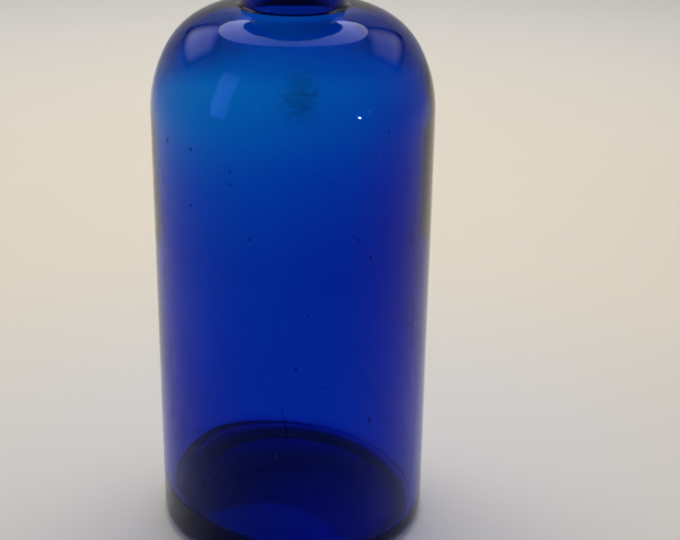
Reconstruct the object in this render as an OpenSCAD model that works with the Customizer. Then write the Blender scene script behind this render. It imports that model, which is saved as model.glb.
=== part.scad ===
// Antique cylinder bottle: a mould-blown glass vessel, the lip that was laid on its neck, and the cork.
// Millimetres, +Z up. The origin is on the bottle's axis, on the surface that it stands on.
// Every part is a body of revolution, so each module turns one half outline, whose points are [radius, height].

/* [Body] */
// Outside diameter of the body
body_d = 76; // [75:1:78]
// Height at which the straight wall ends and the shoulder begins
wall_top = 121; // [105:1:122]
// Radius of the heel, where the wall turns under
heel_r = 4; // [3:0.5:5]
// Width of the flat ring that the bottle stands on
foot_w = 5; // [3:1:8]
// Height of the push-up in the middle of the underside
push_up = 3; // [2:0.5:4]

/* [Shoulder] */
// Radius of the shoulder's lower arc, which leaves the wall
lower_r = 35; // [34:0.5:36]
// Angle that the lower arc turns through
lower_sweep = 29; // [28:1:31]
// Width of the level ring round the neck's root
level_w = 1; // [0:0.5:1]

/* [Glass] */
// Thickness of the lower wall
wall_low = 3.4; // [2.5:0.1:4]
// Thickness of the wall where the shoulder begins
wall_high = 2; // [1.8:0.1:2.4]
// Height at which the wall begins to thin towards the shoulder
thin_from = 88; // [60:1:95]
// Thickness of the base over the push-up
base_t = 5.5; // [4:0.5:7]
// Radius of the inside corner between floor and wall
inside_corner_r = 2.5; // [2:0.5:5]
// Angle that the inside of the shoulder's lower arc turns through
inside_sweep = 16; // [15:1:18]
// Radius at which the inside of the shoulder turns level, at the throat
throat_level_r = 12; // [11.5:0.5:12.5]
// Radius of the rounded step where the neck's bore opens into the shoulder
throat_r = 2; // [1.5:0.5:2.5]

/* [Neck] */
// Outside diameter of the neck
neck_d = 28; // [27:0.5:29]
// Height of the neck's end, inside the lip
neck_top = 176; // [174:1:184]
// Radius of the fillet between shoulder and neck
root_r = 1; // [1:0.5:2]

/* [Lip] */
// Outside diameter of the lip's rim
lip_d = 42; // [38:1:46]
// Height of the lip above the neck's end
lip_above = 7; // [5:0.5:8]
// Length of the lip that laps down over the neck
lip_lap = 5; // [3:0.5:6]
// Radius of the lip's rounded edges
lip_edge_r = 2; // [1:0.5:2.5]
// Diameter of the mouth at the lip's top
mouth_d = 19; // [18:0.5:20]
// Radius of the mouth's rounded edge
mouth_edge_r = 0.8; // [0.5:0.1:1.2]

/* [Cork] */
// Length of the cork
cork_length = 27; // [22:1:29]
// Length of the cork that stands out of the mouth
cork_proud = 11; // [9:1:14]
// Gap between cork and glass, along the radius
cork_gap = 0.05; // [0.03:0.01:0.1]
// Width of the bevel at each end of the cork
cork_bevel = 0.6; // [0.3:0.1:1]

/* [Hidden] */
$fn = 128;

arc_step = 5;          // degrees of arc to each point of an outline
dome_steps = 8;        // chords to each dome, from its edge to its middle
bore_slope = 0.0375;   // growth of the bore's radius to each millimetre of height
floor_rise = 1;        // rise of the inside floor from its edge to its middle
seat_margin = 1;       // length that the cork's seat runs on below the cork
body_r = body_d / 2;
neck_r = neck_d / 2;
lip_r = lip_d / 2;
lip_top = neck_top + lip_above;

// The shoulder: the lower arc leaves the wall upright, and the upper arc turns level at the ring round the neck.
lower_x = body_r - lower_r;
upper_x = neck_r + level_w;
upper_r = (body_r - upper_x - lower_r * (1 - cos(lower_sweep))) / cos(lower_sweep);
upper_z = wall_top + (lower_r - upper_r) * sin(lower_sweep);
shoulder_top = upper_z + upper_r;

// The fillet between shoulder and neck touches both of them
root_lean = asin((root_r - level_w) / (upper_r + root_r));
root_z = upper_z + (upper_r + root_r) * cos(root_lean);

// The inside of the shoulder keeps its slope nearer to the neck than the outside does
inside_lower_r = lower_r - wall_high;
inside_upper_r = (lower_x + inside_lower_r * cos(inside_sweep) - throat_level_r) / cos(inside_sweep);
inside_upper_z = wall_top + (inside_lower_r - inside_upper_r) * sin(inside_sweep);
throat_z = inside_upper_z + inside_upper_r + throat_r;

// The floor and the lower wall
floor_z = push_up + base_t;
floor_edge_z = floor_z - floor_rise;
inside_low_r = body_r - wall_low;

// The cork's ends, and the end of the cone that it fits
cork_top = lip_top + cork_proud;
cork_bottom = cork_top - cork_length;
cone_end = cork_bottom - seat_margin;

// Radius of the cork's seat at a height: a plain cone, widest at the mouth
function bore_r(z) = mouth_d / 2 - bore_slope * (lip_top - z);

// Points of an arc from one angle to another, both measured from the outward radius
function arc(x, z, r, from, to) =
    let (n = max(2, ceil(abs(to - from) / arc_step)))
    [for (i = [0:n]) let (a = from + (to - from) * i / n) [x + r * cos(a), z + r * sin(a)]];

// A shallow dome over the axis: a chord of half width w that rises by h, from its edge to its top
function dome(w, edge_z, h) =
    let (r = (w * w + h * h) / (2 * h), half = asin(w / r))
    [for (i = [0:dome_steps]) let (a = half * (1 - i / dome_steps))
        [r * sin(a), edge_z + h - r * (1 - cos(a))]];

// Same points, last first
function turned(points) = [for (i = [len(points) - 1:-1:0]) points[i]];

// Outside of the vessel, from the middle of the underside to the neck's end
function vessel_outside() = concat(
    turned(dome(body_r - heel_r - foot_w, 0, push_up)),
    arc(body_r - heel_r, heel_r, heel_r, -90, 0),
    arc(lower_x, wall_top, lower_r, 0, lower_sweep),
    arc(upper_x, upper_z, upper_r, lower_sweep + arc_step, 90 - root_lean - arc_step),
    arc(neck_r + root_r, root_z, root_r, 270 - root_lean, 180),
    [[neck_r, neck_top]]
);

// Inside of the vessel, from the neck's end down to the middle of the floor
function vessel_inside() = concat(
    [[bore_r(neck_top), neck_top], [bore_r(cone_end), cone_end]],
    arc(throat_level_r, throat_z, throat_r, 180, 270),
    arc(throat_level_r, inside_upper_z, inside_upper_r, 90 - arc_step, inside_sweep + arc_step),
    arc(lower_x, wall_top, inside_lower_r, inside_sweep, 0),
    [[inside_low_r, thin_from]],
    arc(inside_low_r - inside_corner_r, floor_edge_z + inside_corner_r, inside_corner_r, 0, arc_step - 90),
    dome(inside_low_r - inside_corner_r, floor_edge_z, floor_rise)
);

module turn(outline) {
    rotate_extrude() polygon(outline);
}

module glass_vessel() {
    color([0.02, 0.09, 0.50, 0.6]) turn(concat(vessel_outside(), vessel_inside()));
}

// The lip is a collar with a socket for the neck's end
module applied_lip() {
    lip_bottom = neck_top - lip_lap;
    mouth_r = bore_r(lip_top - mouth_edge_r);
    color([0.02, 0.08, 0.45, 0.6]) turn(concat(
        [[neck_r, lip_bottom]],
        arc(lip_r - lip_edge_r, lip_bottom + lip_edge_r, lip_edge_r, -90, 0),
        arc(lip_r - lip_edge_r, lip_top - lip_edge_r, lip_edge_r, 0, 90),
        arc(mouth_r + mouth_edge_r, lip_top - mouth_edge_r, mouth_edge_r, 90, 180),
        [[bore_r(neck_top), neck_top], [neck_r, neck_top]]
    ));
}

// A tapered cork, cut to the bore's own cone
module cork_stopper() {
    function side(z) = bore_r(z) - cork_gap;
    color([0.72, 0.55, 0.38]) turn([
        [0, cork_bottom],
        [side(cork_bottom) - cork_bevel, cork_bottom],
        [side(cork_bottom + cork_bevel), cork_bottom + cork_bevel],
        [side(cork_top - cork_bevel), cork_top - cork_bevel],
        [side(cork_top) - cork_bevel, cork_top],
        [0, cork_top]
    ]);
}

glass_vessel();
applied_lip();
cork_stopper();
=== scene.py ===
"""The looks of an antique cobalt-blue glass bottle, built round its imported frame.

Metres, +Z up, with the bottle's axis on Z and its foot on z = 0, as in the frame. The glass is one closed
mesh, because the lip was laid on hot and welded to the neck. It holds the outside, the inside and the
seeds.
"""
import math
import random

import bpy
from mathutils import Matrix, Vector, noise


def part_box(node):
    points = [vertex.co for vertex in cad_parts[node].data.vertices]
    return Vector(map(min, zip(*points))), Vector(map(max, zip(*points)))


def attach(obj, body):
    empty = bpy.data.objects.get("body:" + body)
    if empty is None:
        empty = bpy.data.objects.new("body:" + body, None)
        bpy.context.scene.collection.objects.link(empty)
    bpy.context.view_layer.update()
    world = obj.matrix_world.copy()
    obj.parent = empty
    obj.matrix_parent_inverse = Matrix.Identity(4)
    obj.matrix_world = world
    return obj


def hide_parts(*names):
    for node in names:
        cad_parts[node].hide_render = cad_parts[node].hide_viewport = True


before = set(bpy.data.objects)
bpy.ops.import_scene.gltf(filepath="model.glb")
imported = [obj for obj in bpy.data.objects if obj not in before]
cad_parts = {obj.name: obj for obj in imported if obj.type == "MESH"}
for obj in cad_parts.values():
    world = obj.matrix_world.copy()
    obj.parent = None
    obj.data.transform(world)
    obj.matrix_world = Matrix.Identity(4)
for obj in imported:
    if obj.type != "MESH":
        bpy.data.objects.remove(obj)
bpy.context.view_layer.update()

MM = 0.001

# ---------------------------------------------------------------- dimensions
_, vessel_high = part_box("glass_vessel")
lip_low, lip_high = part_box("applied_lip")
cork_low, cork_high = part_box("cork_stopper")

BODY_R = vessel_high.x
LIP_R = lip_high.x
LIP_BOTTOM = lip_low.z
LIP_TOP = lip_high.z

# Outside of the vessel, as in the frame
HEEL_R = 4 * MM
FOOT_W = 5 * MM
PUSH_UP = 3 * MM
WALL_TOP = 121 * MM
LOWER_R = 35 * MM
LOWER_SWEEP = math.radians(29)
LEVEL_W = 1 * MM
NECK_R = 14 * MM
ROOT_R = 1 * MM
LIP_EDGE_R = 2 * MM

# Inside of the vessel and the bore
WALL_LOW = 3.4 * MM
WALL_HIGH = 2 * MM
THIN_FROM = 88 * MM
BASE_T = 5.5 * MM
FLOOR_RISE = 1 * MM
INSIDE_CORNER_R = 2.5 * MM
INSIDE_SWEEP = math.radians(16)
THROAT_LEVEL_R = 12 * MM
THROAT_R = 2 * MM
MOUTH_R = 9.5 * MM
MOUTH_EDGE_R = 0.8 * MM
BORE_SLOPE = 0.0375

# The cork, and how far its seat in the glass runs on below it
CORK_GAP = 0.05 * MM
CORK_BEVEL = 0.6 * MM
SEAT_MARGIN = 1 * MM
CONE_END = cork_low.z - SEAT_MARGIN

# Faces round the glass and round the cork
SEGMENTS = 180
CORK_SEGMENTS = 150

# Length of a face along the outline: on plain runs, then on each small curve or flat that needs finer faces
ROW = 1.3 * MM
HEEL_ROW = 0.5 * MM
ROOT_ROW = 0.3 * MM
EDGE_ROW = 0.4 * MM
LIP_ROW = 0.8 * MM
MOUTH_ROW = 0.25 * MM
CORNER_ROW = 0.7 * MM
CORK_FOOT_ROW = 0.6 * MM
BEVEL_ROW = 0.3 * MM
CORK_ROW = 0.35 * MM
CORK_HEAD_ROW = 0.45 * MM

# Outline points closer than this count as one
MERGE = 0.02 * MM

# A quarter of a turn
QUARTER = math.pi / 2


# ---------------------------------------------------------------- outlines
def bore_radius(z):
    """Radius of the mouth's plain cone at a height."""
    return MOUTH_R - BORE_SLOPE * (LIP_TOP - z)


def arc(x, z, radius, start, end, row=ROW):
    """Points of an arc between two angles, which are measured from the outward radius."""
    count = max(3, math.ceil(abs(end - start) * radius / row))
    angles = [start + (end - start) * i / count for i in range(count + 1)]
    return [(x + radius * math.cos(a), z + radius * math.sin(a)) for a in angles]


def line(start, end, row=ROW):
    """Points of a straight run, without its own end points."""
    count = max(2, math.ceil(math.dist(start, end) / row))
    steps = [i / count for i in range(1, count)]
    return [(start[0] + (end[0] - start[0]) * t, start[1] + (end[1] - start[1]) * t) for t in steps]


def dome(width, edge_z, rise):
    """A shallow dome from its edge to the axis."""
    radius = (width * width + rise * rise) / (2 * rise)
    half = math.asin(width / radius)
    return arc(0, edge_z + rise - radius, radius, QUARTER - half, QUARTER)


def joined(*runs):
    """One outline from several runs, with points that fall together left out."""
    points = []
    for run in runs:
        for point in run:
            if not points or math.dist(points[-1], point) > MERGE:
                points.append(point)
    return points


lower_x = BODY_R - LOWER_R
upper_x = NECK_R + LEVEL_W
upper_r = (BODY_R - upper_x - LOWER_R * (1 - math.cos(LOWER_SWEEP))) / math.cos(LOWER_SWEEP)
upper_z = WALL_TOP + (LOWER_R - upper_r) * math.sin(LOWER_SWEEP)
shoulder_top = upper_z + upper_r
root_lean = math.asin((ROOT_R - LEVEL_W) / (upper_r + ROOT_R))
root_z = upper_z + (upper_r + ROOT_R) * math.cos(root_lean)
inside_lower_r = LOWER_R - WALL_HIGH
inside_reach = lower_x + inside_lower_r * math.cos(INSIDE_SWEEP) - THROAT_LEVEL_R
inside_upper_r = inside_reach / math.cos(INSIDE_SWEEP)
inside_upper_z = WALL_TOP + (inside_lower_r - inside_upper_r) * math.sin(INSIDE_SWEEP)
ceiling_z = inside_upper_z + inside_upper_r
floor_edge_z = PUSH_UP + BASE_T - FLOOR_RISE
inside_low_r = BODY_R - WALL_LOW
inside_high_r = BODY_R - WALL_HIGH
corner_x = inside_low_r - INSIDE_CORNER_R


def outside_outline():
    """From the middle of the underside, up the outside and over the lip to the mouth."""
    foot_x = BODY_R - HEEL_R
    rim_x = LIP_R - LIP_EDGE_R
    mouth_x = bore_radius(LIP_TOP - MOUTH_EDGE_R) + MOUTH_EDGE_R
    return joined(
        dome(foot_x - FOOT_W, 0, PUSH_UP)[::-1],
        line((foot_x - FOOT_W, 0), (foot_x, 0)),
        arc(foot_x, HEEL_R, HEEL_R, -QUARTER, 0, HEEL_ROW),
        line((BODY_R, HEEL_R), (BODY_R, WALL_TOP)),
        arc(lower_x, WALL_TOP, LOWER_R, 0, LOWER_SWEEP),
        arc(upper_x, upper_z, upper_r, LOWER_SWEEP, QUARTER - root_lean),
        arc(NECK_R + ROOT_R, root_z, ROOT_R, 3 * QUARTER - root_lean, 2 * QUARTER, ROOT_ROW),
        line((NECK_R, root_z), (NECK_R, LIP_BOTTOM)),
        line((NECK_R, LIP_BOTTOM), (rim_x, LIP_BOTTOM)),
        arc(rim_x, LIP_BOTTOM + LIP_EDGE_R, LIP_EDGE_R, -QUARTER, 0, EDGE_ROW),
        line((LIP_R, LIP_BOTTOM + LIP_EDGE_R), (LIP_R, LIP_TOP - LIP_EDGE_R), LIP_ROW),
        arc(rim_x, LIP_TOP - LIP_EDGE_R, LIP_EDGE_R, 0, QUARTER, EDGE_ROW),
        line((rim_x, LIP_TOP), (mouth_x, LIP_TOP), LIP_ROW),
        arc(mouth_x, LIP_TOP - MOUTH_EDGE_R, MOUTH_EDGE_R, QUARTER, 2 * QUARTER, MOUTH_ROW),
    )


def inside_outline():
    """From the mouth, down the bore and the inside to the middle of the floor."""
    throat_z = ceiling_z + THROAT_R
    cone_end = (bore_radius(CONE_END), CONE_END)
    mouth_z = LIP_TOP - MOUTH_EDGE_R
    return joined(
        line((bore_radius(mouth_z), mouth_z), cone_end),
        line(cone_end, (THROAT_LEVEL_R - THROAT_R, throat_z)),
        arc(THROAT_LEVEL_R, throat_z, THROAT_R, 2 * QUARTER, 3 * QUARTER, EDGE_ROW),
        arc(THROAT_LEVEL_R, inside_upper_z, inside_upper_r, QUARTER, INSIDE_SWEEP),
        arc(lower_x, WALL_TOP, inside_lower_r, INSIDE_SWEEP, 0),
        line((inside_high_r, WALL_TOP), (inside_low_r, THIN_FROM)),
        line((inside_low_r, THIN_FROM), (inside_low_r, floor_edge_z + INSIDE_CORNER_R)),
        arc(corner_x, floor_edge_z + INSIDE_CORNER_R, INSIDE_CORNER_R, 0, -QUARTER, CORNER_ROW),
        dome(corner_x, floor_edge_z, FLOOR_RISE),
    )


def outline_normals(points):
    """Unit normals to the right-hand side of an outline's travel, which is out of the glass."""
    normals = []
    for i in range(len(points)):
        before = points[max(i - 1, 0)]
        after = points[min(i + 1, len(points) - 1)]
        along = Vector((after[0] - before[0], after[1] - before[1])).normalized()
        normals.append((along.y, -along.x))
    return normals


# ---------------------------------------------------------------- hand-made unevenness
# Each noise: the length of its waves, its seed, and how much closer its waves lie upwards than across
WAVE = (26 * MM, 3, 0.6)
RIPPLE = (9 * MM, 7, 0.5)
INSIDE_WAVE = (24 * MM, 11, 0.45)
LUMP = (14 * MM, 17, 1)
GRAIN = (1.5 * MM, 23, 2.2)
CHIP = (4 * MM, 31, 1)

# Depths of the outside's waves and ripples in millimetres, on each part
BODY_WAVES, BODY_RIPPLES = 0.16, 0.03
LIP_WAVES, LIP_RIPPLES = 0.22, 0.05
UNDER_RIPPLES = 0.15

# The underside's ripples begin this far outside the foot ring's inner edge and are full this far inside it
UNDER_BEGINS, UNDER_FULL = 1 * MM, 3 * MM

# A point this far past the height where a part ends still belongs to it
PART_MARGIN = 0.1 * MM

# Depths of the inside's waves, which run everywhere below the neck, and of its lumps, which lie low down, in
# millimetres. Then the heights between which the lumps fade out, and the height over which it all does in
# the neck.
INSIDE_WAVES, INSIDE_LUMPS = 0.25, 0.10
LUMPS_FROM, LUMPS_END = 8 * MM, 24 * MM
NECK_FADE = 8 * MM


def smooth(edge0, edge1, value):
    """0 below one edge, 1 above the other, and a smooth step between them."""
    t = min(1, max(0, (value - edge0) / (edge1 - edge0)))
    return t * t * (3 - 2 * t)


def noise_at(point, wavelength, seed, closeness):
    """Smooth noise from -1 to 1 at a point."""
    x, y, z = point
    return noise.noise(Vector((x, y, z * closeness)) / wavelength + Vector((seed, -seed, seed)))


def outside_dent(point):
    """How far the outside sinks below its true surface. It never rises, and so stays in the frame's box."""
    reach = math.hypot(point.x, point.y)
    waves = 0.5 + 0.5 * noise_at(point, *WAVE)
    ripples = 0.5 + 0.5 * noise_at(point, *RIPPLE)
    if point.z > LIP_BOTTOM - PART_MARGIN:
        depth = LIP_WAVES * waves + LIP_RIPPLES * ripples
    elif point.z < PUSH_UP + PART_MARGIN and reach < BODY_R - HEEL_R:
        foot_inner = BODY_R - HEEL_R - FOOT_W
        depth = UNDER_RIPPLES * ripples * smooth(foot_inner + UNDER_BEGINS, foot_inner - UNDER_FULL, reach)
    else:
        depth = BODY_WAVES * waves + BODY_RIPPLES * ripples
    return depth * MM


def inside_swell(point):
    """How far the inside bulges into the hollow, or sinks if negative."""
    low = 1 - smooth(LUMPS_FROM, LUMPS_END, point.z)
    neck = smooth(ceiling_z, ceiling_z + NECK_FADE, point.z)
    swell = INSIDE_WAVES * noise_at(point, *INSIDE_WAVE) + low * INSIDE_LUMPS * noise_at(point, *LUMP)
    return swell * (1 - neck) * MM


# The hollow was blown a little off the axis, so the glass is thinner towards -X, but less so lower down
OFF_CENTRE = -0.64 * MM
OFF_CENTRE_FROM, OFF_CENTRE_FULL = 30 * MM, 74 * MM


def hollow_shift(point):
    """How far the hollow stands aside: fully in the upper body, and not at all at the base or the neck."""
    in_body = smooth(OFF_CENTRE_FROM, OFF_CENTRE_FULL, point.z)
    below_neck = 1 - smooth(WALL_TOP, ceiling_z, point.z)
    return OFF_CENTRE * in_body * below_neck


# The floor leans: more glass ran to the left and to the back, so it stands higher there
LEAN_X, LEAN_Y = -0.10, 0.05
LEAN_FROM, LEAN_END = 8 * MM, 32 * MM


def floor_lift(point):
    """How far the floor and its corner stand above their level places. It fades out up the wall."""
    return (LEAN_X * point.x + LEAN_Y * point.y) * (1 - smooth(LEAN_FROM, LEAN_END, point.z))


# ---------------------------------------------------------------- meshes
def ring(radius, z, segments):
    """Points all the way round the axis."""
    turn = 2 * math.pi / segments
    angles = [i * turn for i in range(segments)]
    return [Vector((radius * math.sin(a), -radius * math.cos(a), z)) for a in angles]


def lathe(outline, place, segments=SEGMENTS):
    """An outline turned from axis to axis, as vertices and faces. place() moves each vertex."""
    normals = outline_normals(outline)
    first, last = outline[0], outline[-1]
    vertices = [place(Vector((0, 0, first[1])), 0, Vector((0, 0, normals[0][1])))]
    for row in range(1, len(outline) - 1):
        radius, z = outline[row]
        out_r, out_z = normals[row]
        for point in ring(radius, z, segments):
            outward = Vector((point.x, point.y, 0)).normalized() * out_r + Vector((0, 0, out_z))
            vertices.append(place(point, row, outward))
    vertices.append(place(Vector((0, 0, last[1])), len(outline) - 1, Vector((0, 0, normals[-1][1]))))
    end = len(vertices) - 1
    final_row = end - segments
    faces = []
    for i in range(segments):
        j = (i + 1) % segments
        faces.append((0, 1 + j, 1 + i))
        for start in range(1, final_row, segments):
            faces.append((start + i, start + j, start + segments + j, start + segments + i))
        faces.append((final_row + i, final_row + j, end))
    return vertices, faces


def add_mesh(name, vertices, faces, material):
    """A smooth-shaded object at the origin."""
    mesh = bpy.data.meshes.new(name)
    mesh.from_pydata(vertices, [], faces)
    mesh.materials.append(material)
    mesh.shade_smooth()
    mesh.validate()
    made = bpy.data.objects.new(name, mesh)
    bpy.context.scene.collection.objects.link(made)
    return made


# Seeds that show in the front wall: turn from the front in degrees, height and radius in millimetres
FRONT_SEEDS = [
    (-58, 118, 0.42), (-43, 118, 0.34), (-25, 111, 0.28), (14, 112, 0.26),
    (-44, 103, 0.30), (-17, 97, 0.28), (33, 44, 0.46), (-7, 36, 0.30),
    (-44, 38, 0.30), (10, 25, 0.26), (1, 62, 0.28), (12, 56, 0.24),
]

# The other seeds: how many, and the ranges of the same three measures
OTHER_SEEDS = 26
SEED_TURNS = (55, 305)
SEED_HEIGHTS = (22, 116)
SEED_RADII = (0.18, 0.42)

# All seeds: the range of their depths as shares of the wall, their height over their width, their faces
SEED_DEPTHS = (0.4, 0.6)
SEED_STRETCH = 1.7
SEED_RINGS, SEED_SEGMENTS = 6, 10


def seed_bubble(centre, size):
    """A small air bubble in the glass, longer upwards. Its faces look inwards, out of the glass."""
    outline = arc(0, 0, 1, -QUARTER, QUARTER, math.pi / SEED_RINGS)

    def place(point, row, outward):
        return centre + Vector((point.x * size, point.y * size, point.z * size * SEED_STRETCH))

    vertices, faces = lathe(outline, place, SEED_SEGMENTS)
    return vertices, [face[::-1] for face in faces]


def seeds():
    """Centres and radii of the seeds: the ones in the front wall, then others all round."""
    draw = random.Random(5)
    places = [(turn, height * MM, radius * MM) for turn, height, radius in FRONT_SEEDS]
    for _ in range(OTHER_SEEDS):
        turn = draw.uniform(*SEED_TURNS)
        height = draw.uniform(*SEED_HEIGHTS) * MM
        places.append((turn, height, draw.uniform(*SEED_RADII) * MM))
    found = []
    for turn, height, radius in places:
        thinning = max(0, height - THIN_FROM) / (WALL_TOP - THIN_FROM)
        wall = WALL_LOW + (WALL_HIGH - WALL_LOW) * thinning
        depth = BODY_R - wall * draw.uniform(*SEED_DEPTHS)
        angle = math.radians(turn)
        found.append((Vector((depth * math.sin(angle), -depth * math.cos(angle), height)), radius))
    return found


def make_glass(material):
    """The vessel and its lip as one closed mesh, with the seeds inside the wall."""
    outside = outside_outline()
    outline = joined(outside, inside_outline())

    def place(point, row, outward):
        if row < len(outside):
            return point - outward * outside_dent(point)
        swollen = point + outward * inside_swell(point)
        return swollen + Vector((hollow_shift(point), 0, floor_lift(point)))

    vertices, faces = lathe(outline, place)
    for centre, radius in seeds():
        more, turned = seed_bubble(centre, radius)
        start = len(vertices)
        vertices += more
        faces += [tuple(start + i for i in face) for face in turned]
    return add_mesh("cobalt_bottle", vertices, faces, material)


# How far the cork's whole surface is worn down, in millimetres. Above a level of its noise, the grain sinks
# into pits and the head chips, by so many millimetres for each unit of noise. Chips begin a little above
# the lip, over this height.
CORK_SINK = 0.10
PITS_ABOVE, PIT_DEPTH = 0.28, 0.8
CHIPS_ABOVE, CHIP_DEPTH = 0.35, 1.2
CHIPS_FADE = 3 * MM


def make_cork(material):
    """The cork, cut to the bore's cone and worn, with pits and soft edges."""
    def side(z):
        return bore_radius(z) - CORK_GAP

    bottom, top = cork_low.z, cork_high.z
    foot_edge = (side(bottom) - CORK_BEVEL, bottom)
    foot_bevel = (side(bottom + CORK_BEVEL), bottom + CORK_BEVEL)
    head_bevel = (side(top - CORK_BEVEL), top - CORK_BEVEL)
    head_edge = (side(top) - CORK_BEVEL, top)
    outline = joined(
        line((0, bottom), foot_edge, CORK_FOOT_ROW),
        [foot_edge],
        line(foot_edge, foot_bevel, BEVEL_ROW),
        line(foot_bevel, head_bevel, CORK_ROW),
        line(head_bevel, head_edge, BEVEL_ROW),
        line(head_edge, (0, top), CORK_HEAD_ROW),
    )
    outline = [(0, bottom)] + outline + [(0, top)]

    def place(point, row, outward):
        pit = PIT_DEPTH * max(0, noise_at(point, *GRAIN) - PITS_ABOVE)
        chip = CHIP_DEPTH * max(0, noise_at(point, *CHIP) - CHIPS_ABOVE)
        on_head = smooth(LIP_TOP, LIP_TOP + CHIPS_FADE, point.z)
        sink = (CORK_SINK + pit + on_head * chip) * MM
        return point - outward * sink

    vertices, faces = lathe(outline, place, CORK_SEGMENTS)
    return add_mesh("cork", vertices, faces, material)


# ---------------------------------------------------------------- materials
def new_material(name):
    """An empty node material, with its tree."""
    material = bpy.data.materials.new(name)
    material.use_nodes = True
    material.node_tree.nodes.clear()
    return material, material.node_tree


def add_node(tree, kind, inputs=None, **settings):
    """A node with its settings and inputs. A socket is linked to its input, and the rest are values."""
    made = tree.nodes.new("ShaderNode" + kind)
    for key, value in settings.items():
        setattr(made, key, value)
    for key, value in (inputs or {}).items():
        if isinstance(value, bpy.types.NodeSocket):
            tree.links.new(value, made.inputs[key])
        else:
            made.inputs[key].default_value = value
    return made


def noise_value(tree, coordinates, scale, detail=3.0, roughness=0.55, distortion=0.0):
    """The value of a noise texture."""
    made = add_node(tree, "TexNoise", {
        "Vector": coordinates,
        "Scale": scale,
        "Detail": detail,
        "Roughness": roughness,
        "Distortion": distortion,
    })
    return made.outputs["Fac"]


def spread(tree, value, low, high, to_low=0.0, to_high=1.0):
    """A value carried smoothly from one range to another."""
    made = add_node(tree, "MapRange", {
        "Value": value, "From Min": low, "From Max": high, "To Min": to_low, "To Max": to_high,
    }, interpolation_type="SMOOTHSTEP")
    return made.outputs["Result"]


def maths(tree, operation, first, second=0.0):
    """The result of a Math node."""
    made = add_node(tree, "Math", {0: first, 1: second}, operation=operation)
    return made.outputs[0]


def mix_colour(tree, factor, first, second):
    """The result of mixing two colours. A Mix node keeps its colour sockets at these places."""
    made = add_node(tree, "Mix", data_type="RGBA")
    for index, value in ((0, factor), (6, first), (7, second)):
        if isinstance(value, bpy.types.NodeSocket):
            tree.links.new(value, made.inputs[index])
        else:
            made.inputs[index].default_value = value
    return made.outputs[2]


def stretched(tree, coordinates, scale):
    """Coordinates scaled by a different amount along each axis."""
    made = add_node(tree, "Mapping", {"Vector": coordinates, "Scale": scale})
    return made.outputs["Vector"]


# Absorption of red, green and blue for each metre of glass, tuned to the bottle's look in this light and
# not measured on glass. The volume takes each as a share of its density.
ABSORB_RED, ABSORB_GREEN, ABSORB_BLUE = 1900, 528, 103
ABSORB_DENSITY = 2000

# How the glass bends light, and the tint of its mirror reflection, which is tuned in the same way. The tint
# is
# painted shade: it darkens reflections, most in red and green, in place of a dim room before the bottle.
GLASS_IOR = 1.52
REFLECTION_SHADE_TINT = (0.05, 0.12, 0.6, 1)

# The underside and the foot of the heel are worn rough: heights between which the wear fades out, its least
# and most roughness, and the roughness of scuffs elsewhere
WEAR_END, WEAR_FULL = 3.6 * MM, 3.1 * MM
WEAR_LEAST, WEAR_MOST = 0.28, 0.38
SCUFF_ROUGHNESS = 0.02

# Marks darken the glass towards this colour
MARK_COLOUR = (0.30, 0.62, 0.52, 1)
WHITE = (1, 1, 1, 1)

# The darker patch on the front of the shoulder: its middle and its half sizes, across and up, and how dark
# it is.
# Noise frays it: how strongly, and the frayed distances from its middle at which it begins and is full.
PATCH_MIDDLE = (1.9 * MM, 133 * MM)
PATCH_REACH = (6.6 * MM, 9.5 * MM)
PATCH_DARKNESS = 0.85
PATCH_FRAY = 2.2
PATCH_BEGINS, PATCH_FULL = 2.0, 1.1

# The fine scratch low on the front: its two ends, across and up, its half width, how soft its sides are,
# its wander and its darkness, and the heights over its ends at which it begins and is full
SCRATCH_TOP = (-3.0 * MM, 52 * MM)
SCRATCH_END = (0.1 * MM, 30 * MM)
SCRATCH_HALF_W = 0.22 * MM
SCRATCH_SOFTNESS = 0.6
SCRATCH_WANDER = 0.4 * MM
SCRATCH_DARKNESS = 0.8
SCRATCH_TOP_FADE = (1 * MM, -2 * MM)
SCRATCH_END_FADE = (-1 * MM, 6 * MM)

# Height of the ripples on the glass, where their noise goes from 0 to 1
GLASS_RELIEF = 0.2 * MM


def front_only(tree, depth):
    """1 on the bottle's front, where y is negative, and 0 from the axis to the back."""
    return spread(tree, depth, 0, -6 * MM)


def dark_patch_clearness(tree, coordinates):
    """1 on clear glass, and less inside a ragged, streaky darker patch."""
    axes = add_node(tree, "SeparateXYZ", {"Vector": coordinates}).outputs
    across = maths(tree, "DIVIDE", maths(tree, "SUBTRACT", axes["X"], PATCH_MIDDLE[0]), PATCH_REACH[0])
    along = maths(tree, "DIVIDE", maths(tree, "SUBTRACT", axes["Z"], PATCH_MIDDLE[1]), PATCH_REACH[1])
    squares = [maths(tree, "POWER", side, 2) for side in (across, along)]
    reach = maths(tree, "SQRT", maths(tree, "ADD", *squares))
    streaky = stretched(tree, coordinates, (1, 1, 2.6))
    streaks = noise_value(tree, streaky, scale=330, detail=4, roughness=0.7, distortion=0.6)
    frayed = maths(tree, "ADD", reach, maths(tree, "MULTIPLY", streaks, PATCH_FRAY))
    in_patch = spread(tree, frayed, PATCH_BEGINS, PATCH_FULL)
    shade = maths(tree, "MULTIPLY", in_patch, front_only(tree, axes["Y"]))
    return maths(tree, "SUBTRACT", 1, maths(tree, "MULTIPLY", shade, PATCH_DARKNESS))


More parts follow.
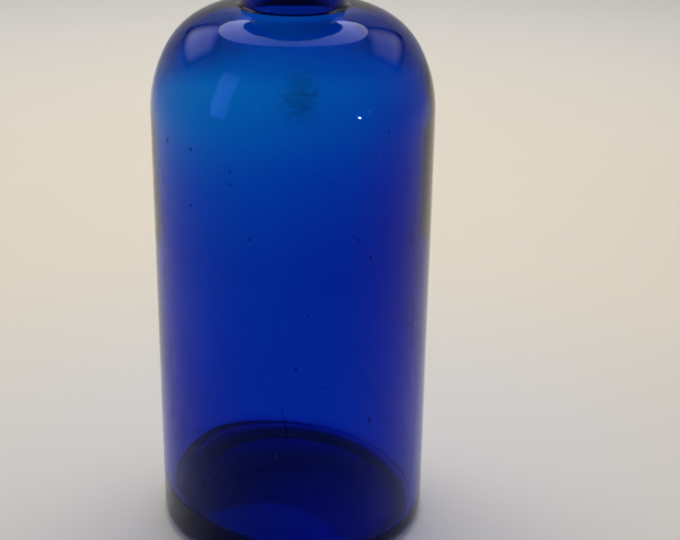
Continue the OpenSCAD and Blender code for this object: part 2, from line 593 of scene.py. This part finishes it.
def scratch_clearness(tree, coordinates):
    """1 on clear glass, and less along one fine, slightly wandering line."""
    axes = add_node(tree, "SeparateXYZ", {"Vector": coordinates}).outputs
    top_x, top_z = SCRATCH_TOP
    end_x, end_z = SCRATCH_END
    slope = (end_x - top_x) / (end_z - top_z)
    wave = noise_value(tree, coordinates, scale=120, detail=2)
    wander = spread(tree, wave, 0.3, 0.7, -SCRATCH_WANDER, SCRATCH_WANDER)
    path = maths(tree, "MULTIPLY", maths(tree, "SUBTRACT", axes["Z"], top_z), slope)
    middle = maths(tree, "ADD", maths(tree, "ADD", path, top_x), wander)
    aside = maths(tree, "ABSOLUTE", maths(tree, "SUBTRACT", axes["X"], middle))
    edges = [SCRATCH_HALF_W * (1 + SCRATCH_SOFTNESS), SCRATCH_HALF_W * (1 - SCRATCH_SOFTNESS)]
    across = spread(tree, aside, *edges)
    above_end = spread(tree, axes["Z"], *[end_z + step for step in SCRATCH_END_FADE])
    below_top = spread(tree, axes["Z"], *[top_z + step for step in SCRATCH_TOP_FADE])
    along = maths(tree, "MULTIPLY", above_end, below_top)
    shade = maths(tree, "MULTIPLY", maths(tree, "MULTIPLY", across, along), front_only(tree, axes["Y"]))
    return maths(tree, "SUBTRACT", 1, maths(tree, "MULTIPLY", shade, SCRATCH_DARKNESS))


def glass_material():
    """Cobalt glass: clear faces, colour from its thickness, a worn underside, a darker patch and a scratch.
    """
    material, tree = new_material("cobalt_glass")
    coordinates = add_node(tree, "TexCoord").outputs["Object"]
    height = add_node(tree, "SeparateXYZ", {"Vector": coordinates}).outputs["Z"]
    scuffs = spread(tree, noise_value(tree, coordinates, scale=900, detail=4), 0.62, 0.75)
    under = spread(tree, height, WEAR_END, WEAR_FULL)
    wear = noise_value(tree, coordinates, scale=500, detail=4)
    worn = spread(tree, wear, 0.35, 0.6, WEAR_LEAST, WEAR_MOST)
    haze = maths(tree, "MULTIPLY", scuffs, SCUFF_ROUGHNESS)
    roughness = maths(tree, "MAXIMUM", maths(tree, "MULTIPLY", under, worn), haze)
    dark_patch, scratch = dark_patch_clearness(tree, coordinates), scratch_clearness(tree, coordinates)
    marked = mix_colour(tree, maths(tree, "MULTIPLY", dark_patch, scratch), MARK_COLOUR, WHITE)
    drawn_out = stretched(tree, coordinates, (1, 1, 0.35))
    ripples = noise_value(tree, drawn_out, scale=70, detail=1)
    bump = add_node(tree, "Bump", {"Height": ripples, "Strength": 0.25, "Distance": GLASS_RELIEF})
    shader = add_node(tree, "BsdfPrincipled", {
        "Base Color": marked,
        "Transmission Weight": 1.0,
        "IOR": GLASS_IOR,
        "Specular Tint": REFLECTION_SHADE_TINT,
        "Roughness": roughness,
        "Normal": bump.outputs["Normal"],
    })
    left = [1 - k / ABSORB_DENSITY for k in (ABSORB_RED, ABSORB_GREEN, ABSORB_BLUE)]
    body = add_node(tree, "VolumeAbsorption", {"Color": (*left, 1), "Density": ABSORB_DENSITY})
    outputs = {"Surface": shader.outputs["BSDF"], "Volume": body.outputs["Volume"]}
    add_node(tree, "OutputMaterial", outputs)
    return material


# The cork's colours, and the height of its grain, where its noise goes from 0 to 1
CORK_LIGHT, CORK_TAN = (0.70, 0.50, 0.30, 1), (0.50, 0.31, 0.17, 1)
CORK_BROWN, CORK_PORE = (0.40, 0.23, 0.12, 1), (0.12, 0.06, 0.03, 1)
CORK_RELIEF = 0.3 * MM


def cork_material():
    """Dry, darkened cork with pores and flecks."""
    material, tree = new_material("cork")
    coordinates = add_node(tree, "TexCoord").outputs["Object"]
    grain_place = stretched(tree, coordinates, (1, 1, 2.2))
    grain = noise_value(tree, grain_place, scale=900, detail=5, roughness=0.65)
    patches = noise_value(tree, coordinates, scale=220)
    pore_place = stretched(tree, coordinates, (1, 1, 2.6))
    pores = spread(tree, noise_value(tree, pore_place, scale=520, detail=2), 0.62, 0.70)
    tan = mix_colour(tree, spread(tree, grain, 0.3, 0.7), CORK_TAN, CORK_LIGHT)
    mottled = mix_colour(tree, spread(tree, patches, 0.45, 0.7), tan, CORK_BROWN)
    colour = mix_colour(tree, pores, mottled, CORK_PORE)
    relief = maths(tree, "SUBTRACT", grain, pores)
    bump = add_node(tree, "Bump", {"Height": relief, "Strength": 0.6, "Distance": CORK_RELIEF})
    shader = add_node(tree, "BsdfPrincipled", {
        "Base Color": colour,
        "Roughness": spread(tree, grain, 0.3, 0.7, 0.75, 0.92),
        "Normal": bump.outputs["Normal"],
    })
    add_node(tree, "OutputMaterial", {"Surface": shader.outputs["BSDF"]})
    return material


# The floor's colours from the bottle outwards, and the distances over which each gives way to the next.
# They are painted light: neutral grey near the bottle, warm cream round it and lighter far away. The cream
# is also the paper's own tone.
NEAR_PAINTED_LIGHT, FAR_PAINTED_LIGHT = (0.83, 0.81, 0.79, 1), (0.95, 0.93, 0.90, 1)
CREAM_DARK, CREAM_LIGHT = (0.85, 0.785, 0.68, 1), (0.87, 0.80, 0.70, 1)
NEAR_FADE, FAR_FADE = (0.06, 0.22), (0.35, 0.85)


def paper_material():
    """The pale floor with painted light: neutral grey near the bottle, warm cream round it and lighter far
    away.
    """
    material, tree = new_material("pale_floor")
    coordinates = add_node(tree, "TexCoord").outputs["Object"]
    reach = add_node(tree, "VectorMath", {0: coordinates}, operation="LENGTH").outputs["Value"]
    mottle = spread(tree, noise_value(tree, coordinates, scale=6), 0.35, 0.65)
    cream_with_painted_warmth = mix_colour(tree, mottle, CREAM_DARK, CREAM_LIGHT)
    inner = mix_colour(tree, spread(tree, reach, *NEAR_FADE), NEAR_PAINTED_LIGHT, cream_with_painted_warmth)
    colour = mix_colour(tree, spread(tree, reach, *FAR_FADE), inner, FAR_PAINTED_LIGHT)
    shader = add_node(tree, "BsdfPrincipled", {"Base Color": colour, "Roughness": 0.85})
    add_node(tree, "OutputMaterial", {"Surface": shader.outputs["BSDF"]})
    return material


# ---------------------------------------------------------------- stage, lights and camera
# The floor in metres: its flat radius, the radius of its bend and the wall above that, and its faces
FLOOR_FLAT, FLOOR_BEND, FLOOR_WALL = 1.3, 0.5, 0.3
FLOOR_RINGS, FLOOR_SEGMENTS, FLOOR_ROW = 12, 96, 0.06


def make_floor():
    """A round pale floor whose rim curves up, so that every side has a plain background."""
    flat = [(FLOOR_FLAT * i / FLOOR_RINGS, 0) for i in range(1, FLOOR_RINGS)]
    curve = arc(FLOOR_FLAT, FLOOR_BEND, FLOOR_BEND, -QUARTER, 0, FLOOR_ROW)
    wall_edge = (FLOOR_FLAT + FLOOR_BEND, FLOOR_BEND + FLOOR_WALL)
    vertices = [Vector((0, 0, 0))]
    for radius, z in flat + curve + [wall_edge]:
        vertices += ring(radius, z, FLOOR_SEGMENTS)
    faces = []
    for i in range(FLOOR_SEGMENTS):
        j = (i + 1) % FLOOR_SEGMENTS
        faces.append((0, 1 + i, 1 + j))
        for start in range(1, len(vertices) - FLOOR_SEGMENTS, FLOOR_SEGMENTS):
            following = start + FLOOR_SEGMENTS
            faces.append((start + i, following + i, following + j, start + j))
    floor = add_mesh("pale_floor", vertices, faces, paper_material())


def area_light(name, shape, centre, facing, width, length, radiance, colour):
    """A soft RECTANGLE or ELLIPSE of a given radiance, which the camera doesn't see directly."""
    data = bpy.data.lights.new(name, "AREA")
    data.shape = shape
    data.size = width
    data.size_y = length
    area = width * length * (math.pi / 4 if shape == "ELLIPSE" else 1)
    data.energy = radiance * math.pi * area
    data.color = colour
    light = bpy.data.objects.new(name, data)
    light.location = centre
    light.rotation_mode = "QUATERNION"
    light.rotation_quaternion = Vector(facing).to_track_quat("-Z", "Y")
    light.visible_camera = False
    bpy.context.scene.collection.objects.link(light)
    return light


# The small lights and glowing panels stand this far from a point on the axis, in metres
LIGHT_REACH = 1.6
LIGHT_AIM = Vector((0, 0, WALL_TOP))


def direction(azimuth, elevation):
    """The way to a light. Azimuth runs from the front towards +X, and both angles are in degrees."""
    turn, climb = math.radians(azimuth), math.radians(elevation)
    return Vector((math.sin(turn) * math.cos(climb), -math.cos(turn) * math.cos(climb), math.sin(climb)))


def half_span(angle):
    """Half the size of a light that fills an angle in degrees, as seen from the point that lights aim at."""
    return LIGHT_REACH * math.tan(math.radians(angle) / 2)


def glint(name, azimuth, elevation, width, height, radiance):
    """A small bright panel that shows in reflections and lights no floor. All angles are in degrees."""
    away = direction(azimuth, elevation)
    size = (2 * half_span(width), 2 * half_span(height))
    centre = LIGHT_AIM + away * LIGHT_REACH
    light = area_light(name, "RECTANGLE", centre, -away, *size, radiance, WHITE[:3])
    light.visible_diffuse = False


def glow_material(name, radiance, colour, softness, streaks):
    """Light from a panel's front face. It fades out to the edges and is streaky, as through old glass."""
    material, tree = new_material(name)
    place = add_node(tree, "TexCoord").outputs["Object"]
    axes = add_node(tree, "SeparateXYZ", {"Vector": place}).outputs
    across, along = [spread(tree, maths(tree, "ABSOLUTE", axes[axis]), 1, 1 - softness) for axis in "XY"]
    inside = maths(tree, "MULTIPLY", across, along)
    streak_noise = noise_value(tree, stretched(tree, place, (3.5, 0.7, 1)), scale=2.2)
    bands = spread(tree, streak_noise, 0.35, 0.65, 1 - streaks, 1)
    front = maths(tree, "SUBTRACT", 1, add_node(tree, "NewGeometry").outputs["Backfacing"])
    shining = maths(tree, "MULTIPLY", front, radiance)
    strength = maths(tree, "MULTIPLY", maths(tree, "MULTIPLY", inside, bands), shining)
    shader = add_node(tree, "Emission", {"Color": (*colour, 1), "Strength": strength})
    add_node(tree, "OutputMaterial", {"Surface": shader.outputs["Emission"]})
    return material


def glow(name, azimuth, elevation, width, height, radiance, colour, softness, streaks=0.0):
    """A soft-edged panel of light, which the camera doesn't see directly. All angles are in degrees."""
    away = direction(azimuth, elevation)
    material = glow_material(name, radiance, colour, softness, streaks)
    panel = add_mesh(name, [(-1, -1, 0), (1, -1, 0), (1, 1, 0), (-1, 1, 0)], [(0, 1, 2, 3)], material)
    panel.location = LIGHT_AIM + away * LIGHT_REACH
    panel.rotation_mode = "QUATERNION"
    panel.rotation_quaternion = (-away).to_track_quat("Z", "Y")
    panel.scale = (half_span(width), half_span(height), 1)
    panel.visible_camera = False
    panel.visible_shadow = False
    return panel


# The lamp's height in metres. Its place behind the axis, its width and its length are shares of its rise
# over the shoulder, and it then stands a little further forward.
LAMP_Z = 0.62
LAMP_BACK, LAMP_WIDTH, LAMP_LENGTH = 0.74, 1.42, 1.52
LAMP_FORWARD = 0.02
LAMP_RADIANCE, LAMP_COLOUR = 2.42, (1, 0.965, 0.91)
WINDOW_COLOUR = (0.94, 1, 0.98)
SIDE_COLOUR = (1, 0.95, 0.95)
ROOM_COLOUR, ROOM_STRENGTH = (0.93, 0.97, 1.0, 1), 0.27

# Names, azimuths and radiances of the panels at the sides
SIDES = [("side_left", -128, 1.5), ("side_right", 124, 1.1)]

# Each glint's name, then its azimuth, elevation, width and height in degrees, and its radiance
GLINTS = [
    ("glint_left", -27.6, 14.6, 1.2, 1.2, 240),
    ("glint_low", 52.4, 4.8, 1.4, 1.9, 380),
    ("glint_right", 61.9, 7.4, 1.5, 1.1, 380),
]


def make_lights():
    """A soft lamp over and behind the bottle, a window, two side panels, small lights, and a dim room."""
    rise = LAMP_Z - shoulder_top
    centre = (0, LAMP_BACK * rise - LAMP_FORWARD, LAMP_Z)
    size = (LAMP_WIDTH * rise, LAMP_LENGTH * rise)
    area_light("overhead_lamp", "ELLIPSE", centre, (0, 0, -1), *size, LAMP_RADIANCE, LAMP_COLOUR)
    window = glow("window", azimuth=-60, elevation=20, width=18, height=38,
                  radiance=4.4, colour=WINDOW_COLOUR, softness=0.25, streaks=0.85)
    window.visible_diffuse = False
    for name, azimuth, radiance in SIDES:
        glow(name, azimuth, elevation=34, width=44, height=30,
             radiance=radiance, colour=SIDE_COLOUR, softness=0.6)
    for measures in GLINTS:
        glint(*measures)
    world = bpy.data.worlds.new("room")
    bpy.context.scene.world = world
    world.use_nodes = True
    background = world.node_tree.nodes["Background"]
    background.inputs["Color"].default_value = ROOM_COLOUR
    background.inputs["Strength"].default_value = ROOM_STRENGTH


# The camera's distance in front of the axis and above the foot, as multiples of the body's radius
CAMERA_BACK, CAMERA_UP = 9.329, 5.746
CAMERA_SENSOR, CAMERA_LENS = 36, 72.4
CAMERA_PITCH = math.radians(22.07)
CAMERA_YAW = math.radians(2.111)
CAMERA_ROLL = math.radians(0.81)


def make_camera():
    """The camera looks down a little, with the bottle left of the middle and upright."""
    data = bpy.data.cameras.new("camera")
    data.sensor_width = CAMERA_SENSOR
    data.lens = CAMERA_LENS
    camera = bpy.data.objects.new("camera", data)
    spin = Matrix.Rotation(-CAMERA_YAW, 4, "Z") @ Matrix.Rotation(QUARTER - CAMERA_PITCH, 4, "X")
    place = Matrix.Translation((0, -CAMERA_BACK * BODY_R, CAMERA_UP * BODY_R))
    camera.matrix_world = place @ spin @ Matrix.Rotation(CAMERA_ROLL, 4, "Z")
    data.clip_start = 0.01
    bpy.context.scene.collection.objects.link(camera)
    bpy.context.scene.camera = camera


def set_light_paths():
    """Enough bounces for light to cross both walls, sharp refraction under the base, and plain colours."""
    scene = bpy.context.scene
    scene.cycles.max_bounces = 32
    scene.cycles.transmission_bounces = 32
    scene.cycles.glossy_bounces = 16
    scene.cycles.diffuse_bounces = 4
    scene.cycles.blur_glossy = 0
    scene.cycles.use_denoising = True
    scene.view_settings.view_transform = "Standard"


# ---------------------------------------------------------------- the scene
make_camera()
set_light_paths()
make_floor()
make_lights()

glass = make_glass(glass_material())
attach(glass, "bottle")
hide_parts("glass_vessel", "applied_lip")

cork = make_cork(cork_material())
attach(cork, "cork")
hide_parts("cork_stopper")
